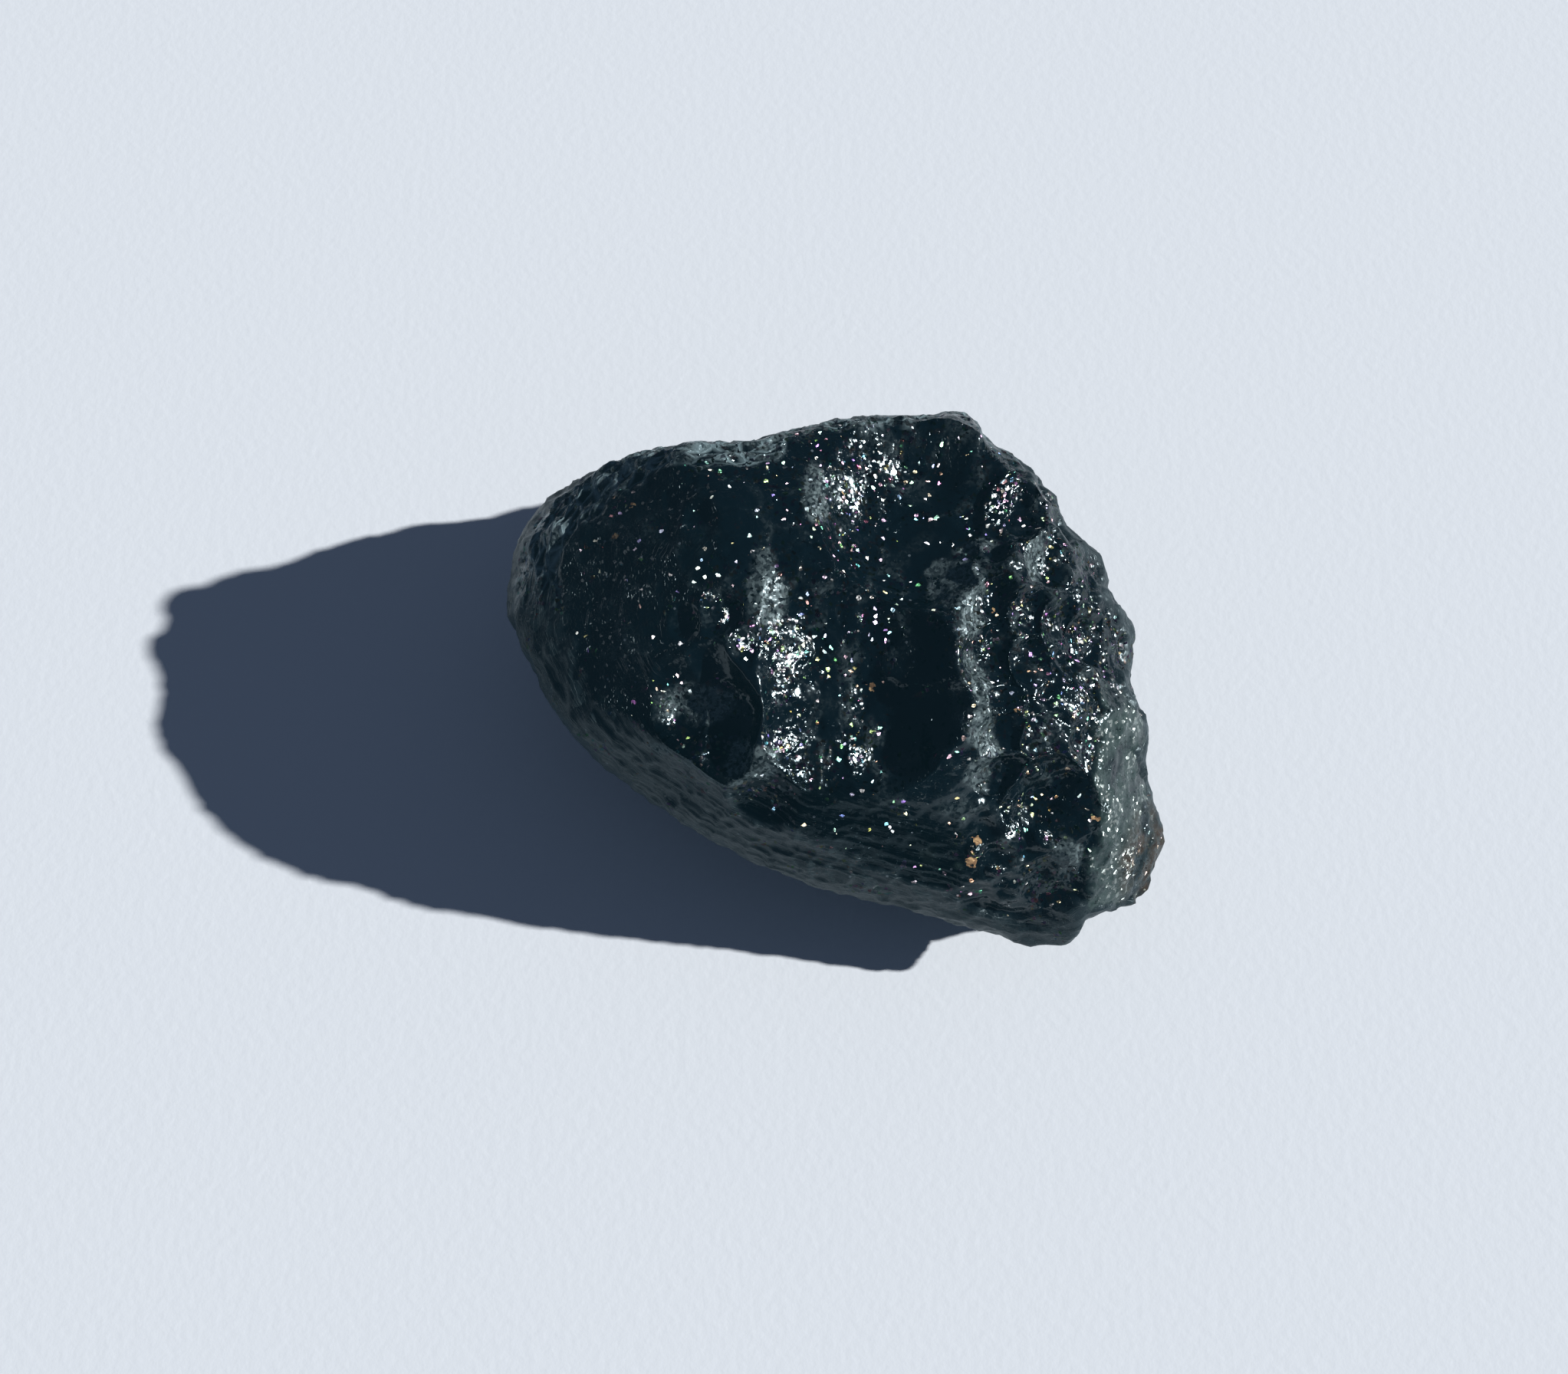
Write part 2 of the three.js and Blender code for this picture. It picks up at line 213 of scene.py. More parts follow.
def wander(rays):
    # sine waves of the other axes shift each direction along u and v: size * sin(pace * axis + phase)
    bent = rays.copy()
    for size, pace in stone["waves"]:
        bent[:, :2] += size * np.sin(pace * np.roll(bent, -1, axis=1)[:, :2] + stone["wavePhase"])
    return bent


def bodyTerms(rays):
    # one over the distance to the rounded body, then to each plane, along each ray
    height = rays[:, 2] - rays[:, :2] @ np.array(stone["middleSlope"])
    behind = height < 0
    drift = np.outer(np.where(behind, -height, 0), stone["backDrift"])
    u, v = (rays[:, :2] - drift).T
    bulge = np.where(behind, stone["backBulge"], stone["frontBulge"])
    squareness = np.where(behind, stone["backSquareness"], stone["frontSquareness"])
    sideways = np.hypot(u, v) / outlineRadius(np.arctan2(v, u))
    outwards = np.abs(height) / bulge
    terms = [(sideways ** squareness + outwards ** squareness) ** (1 / squareness)]
    bent = wander(rays)
    for level, across, up in facets:
        terms.append(np.maximum(bent[:, 2] - across * bent[:, 0] - up * bent[:, 1], 0) / level)
    for level, across, up in backFacets:
        terms.append(np.maximum(across * rays[:, 0] + up * rays[:, 1] - rays[:, 2], 0) / level)
    return np.array(terms) ** stone["facetBlend"]


def squeeze(vectors, bowl):
    # shortens what lies along the bowl's axis by its stretch, so that the stretched bowl is a ball
    along = vectors @ bowl["axis"] * (1 - 1 / bowl["stretch"])
    return vectors - np.multiply.outer(along, bowl["axis"])


def bowlDistance(rays, bowl):
    # how far along each ray the bowl's ball is first met, the smaller root of a t2 - 2 b t + c = 0, or never
    direction = squeeze(rays, bowl)
    a = np.einsum("ij,ij->i", direction, direction)
    b = direction @ bowl["seat"]
    c = bowl["seat"] @ bowl["seat"] - bowl["ballRadius"] ** 2
    inside = b * b - a * c
    meets = (inside > 0) & (b > 0)
    return np.where(meets, (b - np.sqrt(np.maximum(inside, 0))) / a, np.inf)


def softMin(a, b, softness):
    # the smaller value, less a quarter of the softness times the overlap squared
    overlap = np.maximum(softness - np.abs(a - b), 0) / softness
    return np.minimum(a, b) - overlap * overlap * softness / 4


def skinDistance(rays, bowls):
    # one over the blend of the body's terms, then the soft smallest of that and every bowl
    distance = bodyTerms(rays).sum(axis=0) ** (-1 / stone["facetBlend"])
    bent = wander(rays)
    for bowl in bowls:
        distance = softMin(distance, bowlDistance(bent, bowl), stone["rimSoftness"])
    return distance


def heightOutside(points, bowls):
    # how far each point lies beyond the skin along its own ray
    length = np.linalg.norm(points, axis=1)
    return length - skinDistance(points / length[:, None], bowls)


def skinPoints(u, v, side, bowls):
    # halving the span of w until the skin is found at each u, v
    inside = np.full(len(u), 1e-6)
    outside = np.full(len(u), stone["farthest"])
    for _ in range(stone["halvings"]):
        middle = (inside + outside) / 2
        within = heightOutside(np.stack([u, v, side * middle], axis=1), bowls) < 0
        inside = np.where(within, middle, inside)
        outside = np.where(within, outside, middle)
    return np.stack([u, v, side * inside], axis=1)


def skinNormals(points, bowls):
    # the direction in which the height over the skin grows fastest
    reach = stone["slopeReach"]
    slopes = [heightOutside(points + reach * axis, bowls) - heightOutside(points - reach * axis, bowls)
              for axis in np.eye(3)]
    normals = np.stack(slopes, axis=1)
    return normals / np.linalg.norm(normals, axis=1)[:, None]


def pressBowls(rows, side, bowls):
    # each bowl is part of a ball whose rim and depth are as listed, seated on the skin so far
    u, v, radius, depth, stretch, tipU, tipV = np.array(rows, dtype=float).T
    feet = skinPoints(u, v, side, bowls)
    normals = skinNormals(feet, bowls)
    normals[:, :2] += np.stack([tipU, tipV], axis=1)
    normals /= np.linalg.norm(normals, axis=1)[:, None]
    along = np.array([0.0, 1.0, 0.0])
    axes = along - (normals @ along)[:, None] * normals
    axes /= np.linalg.norm(axes, axis=1)[:, None]
    ballRadius = (radius ** 2 + depth ** 2) / (2 * depth)
    centres = feet + normals * (ballRadius - depth)[:, None]
    pressed = []
    for k in range(len(rows)):
        bowl = {"axis": axes[k], "stretch": stretch[k], "ballRadius": ballRadius[k]}
        bowl["seat"] = squeeze(centres[k], bowl)
        pressed.append(bowl)
    return pressed


def dimplesOnBack():
    # golden-angle spiral: the n-th dimple at angle n * 137.5 degrees, radius as the root of n
    n = np.arange(backDimples["count"])
    angle = n * np.pi * (3 - np.sqrt(5))
    turned = np.arctan2(np.sin(angle), np.cos(angle))
    distance = backDimples["spread"] * np.sqrt((n + 0.5) / len(n)) * outlineRadius(turned)
    size = 1 + backDimples["variation"] * np.sin(n * n + 1.0)
    stretch, tip = np.ones(len(n)), np.zeros(len(n))
    return np.stack([distance * np.cos(turned), distance * np.sin(turned), backDimples["radius"] * size,
                     backDimples["depth"] * size, stretch, tip, tip], axis=1)


def ballGrid(steps):
    # a cube's surface lattice with equal angles between its lines, pushed out to a ball
    a, b = np.meshgrid(np.arange(steps + 1), np.arange(steps + 1), indexing="ij")
    sides = []
    for axis in range(3):
        for end in (0, steps):
            lattice = np.zeros((steps + 1, steps + 1, 3), dtype=np.int64)
            lattice[..., axis] = end
            first, second = (axis + 1) % 3, (axis + 2) % 3
            lattice[..., first] = a if end else b
            lattice[..., second] = b if end else a
            sides.append(lattice)
    lattice = np.array(sides)
    codes = (lattice[..., 0] * (steps + 1) + lattice[..., 1]) * (steps + 1) + lattice[..., 2]
    _, chosen, index = np.unique(codes.ravel(), return_index=True, return_inverse=True)
    corners = lattice.reshape(-1, 3)[chosen]
    points = np.tan((corners / steps - 0.5) * np.pi / 2)
    points /= np.linalg.norm(points, axis=1)[:, None]
    index = index.reshape(codes.shape)
    quads = np.stack([index[:, :-1, :-1], index[:, 1:, :-1], index[:, 1:, 1:], index[:, :-1, 1:]], axis=-1)
    return points, quads.reshape(-1, 4)


def ridges(points, seed):
    # soft noise folded at its middle, so that its zero lines become crests: 1 - 2 |noise|
    return 1 - 2 * np.abs(softNoise(points, seed))


# where each kind of skin lies: a border is where it starts and ends, and a wave is the weight,
# size and seed of its noise
zones = {
    "frays": ((0.9, 1.7, 61), (0.5, 0.7, 62)),  # waves that fray every border
    "backBorder": (-0.6, 2.2), "backFray": 1.1, "backWave": (1.2, 4.5, 64),
    "rindWidth": 2.0, "rindSwing": 1.6, "rindTurn": 215.0,  # the rind is widest towards this angle
    "rindBlur": 0.4, "rindOnBack": 0.75, "rindWave": (0.25, 5, 63),
    "flangeBorder": (0.42, 0.58), "flangeFray": 0.5, "flangeTop": (-2.5, 0.5),
    "netBottom": (3.0, 8.0), "netRight": (8.0, 12.0),
    "satinLostInScoop": 0.8,
    "streakSlope": 0.35, "streakTop": (5.5, 8.5), "streakRight": (6.5, 9.0),
    "spotBorder": (0.7, 1.2), "spotFray": 0.4,
    "flowRange": 17, "flowLean": 0.9,
    # the brown corner is painted light: the sun shining through the thin glass edge
    "shineThroughCentre": (20.0, -12.0), "shineThroughSquash": 0.7, "shineThroughBorder": (0.8, 3.2),
}

# calm patches of smooth dark glass: u, v, half width, half height
calmSpots = [
    (4.7, -1.9, 2.5, 6.0), (6.0, 10.0, 3.2, 2.6), (-6.3, -2.0, 1.4, 3.0), (-0.9, 3.2, 0.8, 1.5),
    (-8.8, 0.6, 2.0, 1.3), (-7.0, 10.0, 2.6, 2.6), (6.9, 14.0, 2.2, 1.6), (-5.2, -9.2, 1.6, 0.9),
    (-3.0, -1.5, 1.4, 1.1), (-1.2, -2.4, 1.0, 2.6),
]

# patches painted paler and duller, partly frost and partly painted sheen: u, v, half width, half height
frostAndSheenSpots = [
    (-1.9, 11.1, 0.9, 2.0), (7.5, 6.2, 1.5, 2.3), (7.9, 3.4, 1.3, 1.5), (8.4, 0.3, 1.2, 1.6),
    (8.6, -3.2, 1.2, 1.7), (8.3, -6.2, 1.0, 1.0), (12.2, 7.6, 0.9, 1.6), (-5.0, 5.2, 1.0, 2.0),
    (-6.4, -5.6, 2.4, 1.1), (8.9, 9.0, 1.0, 0.7), (-9.6, -2.0, 1.9, 1.2), (13.6, -11.6, 1.2, 1.0),
]

# patches where the scallops fade and the flakes line up: u, v, half width, half height
evenSpots = [
    (-4.0, 1.9, 1.2, 1.5), (-3.8, -4.6, 0.9, 0.8), (-6.5, 2.0, 0.6, 0.6), (-8.6, 4.5, 0.7, 0.5),
    (-8.0, 3.7, 0.5, 0.6), (0.3, 3.8, 0.9, 1.1), (0.5, 12.8, 1.1, 1.5), (13.9, -1.9, 1.4, 1.3),
    (11.3, -8.5, 0.9, 0.9), (0.8, -5.9, 0.8, 0.7), (-9.6, 8.6, 0.6, 0.6), (10.5, 11.6, 0.8, 1.2),
    (15.6, 2.3, 0.6, 0.7), (8.0, -10.9, 0.6, 0.5), (18.4, -11.8, 0.9, 1.2), (-8.3, -3.8, 0.6, 0.6),
    (10.4, -9.8, 0.6, 0.5), (12.7, -10.6, 0.7, 0.5), (9.3, -12.3, 0.5, 0.4), (12.9, -6.9, 0.6, 0.4),
    (8.0, 4.2, 0.4, 0.9), (8.6, -0.6, 0.4, 0.8), (9.0, -4.6, 0.4, 0.5), (8.4, 6.6, 0.5, 1.0),
    (9.2, 1.8, 0.4, 0.8),
]


def spread(spots, u, v, ragged):
    # 1 inside each ellipse, falling to 0 across a ragged border
    mask = np.zeros(len(u))
    for spotU, spotV, halfWidth, halfHeight in spots:
        away = np.hypot((u - spotU) / halfWidth, (v - spotV) / halfHeight) + zones["spotFray"] * ragged
        mask = np.maximum(mask, 1 - smoothStep(away, *zones["spotBorder"]))
    return mask


def facetShare(terms, rows):
    # how much of the blended skin belongs to these facets; row 0 of the terms is the body
    return terms[[1 + row for row in rows]].sum(axis=0) / terms.sum(axis=0)


def surfaceMasks(rays, distance, terms, scoop):
    # from 0 to 1: how much of each kind of skin every point has
    points = rays * distance[:, None]
    u, v, w = points.T
    angle = np.arctan2(v, u)
    reach = outlineRadius(angle)
    fromEdge = reach - np.hypot(u, v)
    ragged = sum(wave(points, *fray) for fray in zones["frays"])
    below = -w + stone["middleSlope"][0] * u + stone["middleSlope"][1] * v
    behind = below + zones["backFray"] * ragged + wave(points, *zones["backWave"])
    behind = smoothStep(behind, *zones["backBorder"])
    flange = facetShare(terms, flangeFacets) + zones["flangeFray"] * ragged
    flange = smoothStep(flange, *zones["flangeBorder"]) * (1 - scoop) * (1 - behind)
    flange *= 1 - smoothStep(v, *zones["flangeTop"])
    width = zones["rindWidth"] + zones["rindSwing"] * np.cos(angle - np.radians(zones["rindTurn"]))
    rind = smoothStep(fromEdge + ragged, width - zones["rindBlur"], width + zones["rindBlur"])
    rind = (1 - rind) * (1 - scoop) * (1 - flange)
    upper = smoothStep(v, *zones["netBottom"]) * (1 - smoothStep(u, *zones["netRight"])) * (1 - behind)
    net = rind * upper
    onBack = behind * (zones["rindOnBack"] + wave(points, *zones["rindWave"]))
    rind = np.maximum(rind * (1 - upper), onBack)
    satin = facetShare(terms, satinFacets) * (1 - zones["satinLostInScoop"] * scoop) * (1 - rind)
    calm, frostAndSheen, even = (
        spread(spots, u, v, ragged) * (1 - behind) for spots in (calmSpots, frostAndSheenSpots, evenSpots))
    streak = smoothStep(-v - zones["streakSlope"] * u, *zones["streakTop"])
    streak = streak * (1 - smoothStep(u, *zones["streakRight"])) * (1 - rind) * (1 - behind)
    flow = flowPlaces(u, v, fromEdge / reach, below)
    return {"rind": rind, "net": net, "flange": flange, "satin": satin, "calm": calm, "frostAndSheen": frostAndSheen,
            "even": even, "behind": behind, "streak": streak, "flow": flow}


def flowPlaces(u, v, edgeShare, below):
    # across the face along u and v, and inward from the outline on the face, the walls and the back
    inward = (1 - edgeShare) * zones["flowRange"] - zones["flowLean"] * np.sqrt(below ** 2 + 1)
    return np.stack([u, v, inward], axis=1)


def cornerNormals(points, quads):
    # the cross products of the quads' diagonals, summed at their corners
    a, b, c, d = (points[quads[:, k]] for k in range(4))
    faceNormals = np.cross(c - a, d - b)
    normals = np.zeros_like(points)
    for k in range(4):
        for axis in range(3):
            normals[:, axis] += np.bincount(quads[:, k], faceNormals[:, axis], len(points))
    return normals / np.linalg.norm(normals, axis=1)[:, None]


relief = {
    "lumps": {"size": 2.6, "height": 0.10, "seed": 11},
    "grains": {"size": 0.45, "height": 0.025, "seed": 12, "onFlange": 2},
    "bend": {"size": 1.1, "reach": 0.3, "seed": 21},  # shifts every cell below a little
    "scallops": {"size": 1.7, "depth": 0.48, "seed": 31, "edge": 0.9, "rim": (0.55, 0.85), "onFlange": 0.35},
    "fineScallops": {"size": 0.8, "depth": 0.20, "seed": 34, "edge": 0.9, "onFlange": 0.8},
    "net": {"size": (1.9, 1.9, 0.85), "depth": 0.60, "seed": 41, "edge": 0.8, "rim": (0.42, 0.68)},
    "pits": {"size": 0.95, "depth": 0.20, "seed": 44, "edge": 0.8},  # of the rind
    "pockets": {"size": 1.9, "depth": 0.42, "seed": 47, "edge": 0.75},  # wider pits of the back
    "pocketPatch": {"size": 5, "seed": 65, "border": (-0.7, 0.3)},
    "flow": {"size": (4.0, 4.0, 0.6), "height": 0.07, "seed": 51, "onSatin": 0.35},
    "streaks": {"size": (6.0, 6.0, 0.8), "height": 0.08, "seed": 54, "bend": 1.5},
    "rindStep": 0.10,
    "rightSide": (6.5, 9.0), "leftSide": (-8.5, -4.5), "leftSlope": 0.5,
    "share": {"middle": 0.42, "right": 0.58, "left": 0.26, "even": 0.8},  # how strong the scallops are
    "calmShare": 0.75,
    # how strongly the rims are painted paler, partly as wear and partly as painted highlights
    "rimFrostAndSheen": 0.6, "rimFrostAndSheenRight": 0.35, "netFrostAndSheen": 0.8,
}


def cells(places, kind, bend):
    # distance to the nearest cell's centre, in cells of this kind's size
    return nearestCell(places / np.array(kind["size"]) + bend, kind["seed"])


def dish(cell, kind):
    # 1 - (distance / edge) squared: 1 at a cell's centre and 0 at its edge
    return 1 - (cell / kind["edge"]) ** 2


def crests(places, kind, bend):
    # the folded noise, in waves of this kind's size
    return ridges(places / np.array(kind["size"]) + bend, kind["seed"])


def scallopShare(u, v, masks):
    # how strong the scallops are: most on the right face, least on the left slope and in even patches
    share = relief["share"]
    onRight = smoothStep(u, *relief["rightSide"])
    onLeft = 1 - smoothStep(u + relief["leftSlope"] * v, *relief["leftSide"])
    gloss = (1 - masks["rind"]) * (1 - masks["flange"]) * (1 - masks["net"])
    gloss = gloss * (1 - relief["calmShare"] * masks["calm"])
    level = share["middle"] + share["right"] * onRight - share["left"] * onLeft
    return gloss * (level * (1 - share["even"] * masks["even"]))


def reliefHeight(points, masks):
    # lumps and scallops on the gloss, pits and flow ridges on the rind, streaks low on the face
    u, v = points[:, 0], points[:, 1]
    rind, flange, flow, behind = (masks[name] for name in ("rind", "flange", "flow", "behind"))
    lumps, grains, bend = relief["lumps"], relief["grains"], relief["bend"]
    height = lumps["height"] * softNoise(points / lumps["size"], lumps["seed"])
    rough = grains["height"] * (1 + grains["onFlange"] * flange)
    height += rough * softNoise(points / grains["size"], grains["seed"])
    bends = [softNoise(points / bend["size"], bend["seed"] + k) for k in range(3)]
    bends = bend["reach"] * np.stack(bends, axis=1)
    share = scallopShare(u, v, masks)
    large, fine = relief["scallops"], relief["fineScallops"]
    scallop = cells(points, large, bends)
    height -= (share + large["onFlange"] * flange) * large["depth"] * dish(scallop, large)
    height -= (share + fine["onFlange"] * flange) * fine["depth"] * dish(cells(points, fine, bends), fine)
    web = cells(flow, relief["net"], bends)
    deep = np.maximum(dish(web, relief["net"]), 0)
    height -= masks["net"] * relief["net"]["depth"] * deep
    paintPaleRims(u, masks, share * smoothStep(scallop, *large["rim"]), smoothStep(web, *relief["net"]["rim"]))
    pits, pockets, patch = relief["pits"], relief["pockets"], relief["pocketPatch"]
    height -= rind * pits["depth"] * np.maximum(dish(cells(points, pits, bends), pits), 0)
    pocket = np.maximum(dish(cells(points, pockets, bends), pockets), 0)
    pocket = pocket * smoothStep(softNoise(points / patch["size"], patch["seed"]), *patch["border"])
    height -= behind ** 2 * pockets["depth"] * pocket
    ridge, streak = relief["flow"], relief["streaks"]
    height += (rind + ridge["onSatin"] * masks["satin"]) * ridge["height"] * crests(flow, ridge, bends)
    height += masks["streak"] * streak["height"] * crests(flow, streak, streak["bend"] * bends)
    height += relief["rindStep"] * rind * (1 - behind)
    return height


def paintPaleRims(u, masks, scallopRims, netRims):
    # rims of scallops and net join the frosted patches, painted paler partly as wear, partly as highlights
    onRight = smoothStep(u, *relief["rightSide"])
    strength = relief["rimFrostAndSheen"] - relief["rimFrostAndSheenRight"] * onRight
    rims = strength * (scallopRims * (1 - masks["streak"]))
    rims = np.maximum(rims, relief["netFrostAndSheen"] * masks["net"] * netRims)
    masks["frostAndSheen"] = np.maximum(masks["frostAndSheen"], rims)


def turnToWorld(u, v, w):
    # from the stone's axes to the frame's: leaned about X by the face's lean
    lean = np.radians(stone["faceLean"])
    return np.array([u, v * np.cos(lean) - w * np.sin(lean), v * np.sin(lean) + w * np.cos(lean)])


def buildStone():
    # a ball's rays, drawn towards the wedge's edge, each as long as the skin is far, then the relief
    points, quads = ballGrid(stone["gridSteps"])
    shear = points[:, :2] @ np.array(stone["middleSlope"])
    lifted = points[:, 2] * stone["flatten"] + stone["lift"]
    rays = np.stack([points[:, 0], points[:, 1], lifted + shear], axis=1)
    rays /= np.linalg.norm(rays, axis=1)[:, None]
    bowls = []
    for rows, side in ((largeBowls, 1), (middleBowls, 1), (dimplesOnBack(), -1)):
        bowls += pressBowls(rows, side, bowls)
    terms = bodyTerms(rays)
    plain = terms.sum(axis=0) ** (-1 / stone["facetBlend"])
    scooped = skinDistance(rays, bowls[:len(largeBowls) + len(middleBowls)])
    masks = surfaceMasks(rays, plain, terms, smoothStep(plain - scooped, *stone["scoopBorder"]))
    local = rays * skinDistance(rays, bowls)[:, None]
    normals = cornerNormals(local, quads)
    facing = smoothStep(np.einsum("ij,ij->i", normals, rays), *stone["reliefFacing"])
    local += normals * (reliefHeight(local, masks) * facing)[:, None]
    world = turnToWorld(*local.T).T + np.array(stone["core"])
    world[:, 2] = np.maximum(world[:, 2], 0.0)
    return world, local, quads, masks


def meshObject(name, points, quads):
    mesh = bpy.data.meshes.new(name)
    mesh.vertices.add(len(points))
    mesh.vertices.foreach_set("co", (points * millimetre).astype(np.float32).ravel())
    mesh.loops.add(quads.size)
    mesh.loops.foreach_set("vertex_index", quads.astype(np.int32).ravel())
    mesh.polygons.add(len(quads))
    mesh.polygons.foreach_set("loop_start", np.arange(0, quads.size, 4, dtype=np.int32))
    mesh.update(calc_edges=True)
    mesh.validate()
    mesh.shade_smooth()
    piece = bpy.data.objects.new(name, mesh)
    bpy.context.scene.collection.objects.link(piece)
    return piece


def addAttribute(piece, name, values):
    attribute = piece.data.attributes.new(name, "FLOAT", "POINT")
    attribute.data.foreach_set("value", values.astype(np.float32))


def addVectorAttribute(piece, name, vectors):
    attribute = piece.data.attributes.new(name, "FLOAT_VECTOR", "POINT")
    attribute.data.foreach_set("vector", vectors.astype(np.float32).ravel())


def newGroup(name, inputs, outputs):
    group = bpy.data.node_groups.new(name, "ShaderNodeTree")
    for label, value in inputs.items():
        group.interface.new_socket(name=label, socket_type="NodeSocketFloat").default_value = value
    for label, kind in outputs.items():
        group.interface.new_socket(name=label, in_out="OUTPUT", socket_type="NodeSocket" + kind)
    return group, group.nodes.new("NodeGroupInput").outputs, group.nodes.new("NodeGroupOutput").inputs


def fill(tree, sockets, values):
    # sets each socket to a number or a colour, or links it to the output that gives it
    for socket, value in zip(sockets, values):
        if isinstance(value, (int, float)):
            socket.default_value = value
        elif isinstance(value, tuple):
            socket.default_value = value if len(value) == len(socket.default_value) else (*value, 1.0)
        else:
            tree.links.new(value, socket)


def mathNode(tree, operation, *values, clamp=False):
    node = tree.nodes.new("ShaderNodeMath")
    node.operation = operation
    node.use_clamp = clamp
    fill(tree, node.inputs, values)
    return node.outputs[0]


def chain(operation):
    # carries a two-value operation along any number of values
    def apply(tree, first, *others):
        for other in others:
            first = mathNode(tree, operation, first, other)
        return first
    return apply


times, plus, largest = chain("MULTIPLY"), chain("ADD"), chain("MAXIMUM")


def line(tree, value, slope, start, clamp=False):
    # slope * value + start
    return mathNode(tree, "MULTIPLY_ADD", value, slope, start, clamp=clamp)


def above(tree, value, limit):
    # 1 where the value is over the limit, else 0
    return mathNode(tree, "GREATER_THAN", value, limit)


def rest(tree, value):
    # 1 - value
    return mathNode(tree, "SUBTRACT", 1.0, value)


def vectorMath(tree, operation, first, second):
    node = tree.nodes.new("ShaderNodeVectorMath")
    node.operation = operation
    fill(tree, node.inputs, (first, second))
    return node.outputs["Value" if operation == "DOT_PRODUCT" else "Vector"]


def noiseNode(tree, vector, scale, detail):
    node = tree.nodes.new("ShaderNodeTexNoise")
    fill(tree, (node.inputs["Vector"], node.inputs["Scale"], node.inputs["Detail"]), (vector, scale, detail))
    return node.outputs["Fac"]


def cellsNode(tree, vector, scale, feature="F1"):
    node = tree.nodes.new("ShaderNodeTexVoronoi")
    node.feature = feature
    fill(tree, (node.inputs["Vector"], node.inputs["Scale"]), (vector, scale))
    return node


def separate(tree, colour):
    node = tree.nodes.new("ShaderNodeSeparateColor")
    tree.links.new(colour, node.inputs["Color"])
    return node.outputs


def attributeNode(tree, name, output="Fac"):
    node = tree.nodes.new("ShaderNodeAttribute")
    node.attribute_name = name
    return node.outputs[output]


def mixColour(tree, amount, first, second):
    node = tree.nodes.new("ShaderNodeMix")
    node.data_type = "RGBA"
    tree.links.new(amount, node.inputs["Factor"])
    fill(tree, [socket for socket in node.inputs if socket.type == "RGBA"], (first, second))
    return [socket for socket in node.outputs if socket.type == "RGBA"][0]


# the group's own inputs, then the values that its nodes keep
flakeInputs = {
    "Flakes per metre": 4800.0, "Tilt": 1.1, "Pits per metre": 2600.0, "Pit Depth": 0.00004,
}
flakeShape = {
    # aimed flakes face halfway between the key light and the camera, in the stone's own axes
    "facing": (0.507, 0.117, 0.853),
    "bendsPerMetre": 3200.0, "bend": 0.0002,  # makes the flakes ragged and a little curved
    "steepSlope": 1.9, "steepStart": 0.14,
    "mirrorsAbove": 0.72,
    "tintSlope": 0.75, "tintLight": 0.06,
    "pitSmoothness": 0.35, "wrinklesPerMetre": 1500.0, "wrinkle": 0.9,
    "specksPerMetre": 850.0, "speckRadius": 0.075, "specksAbove": 0.5,
    "grainSlope": 2.2,
    "wearPerMetre": 600.0, "raggedPerMetre": 3600.0,
}


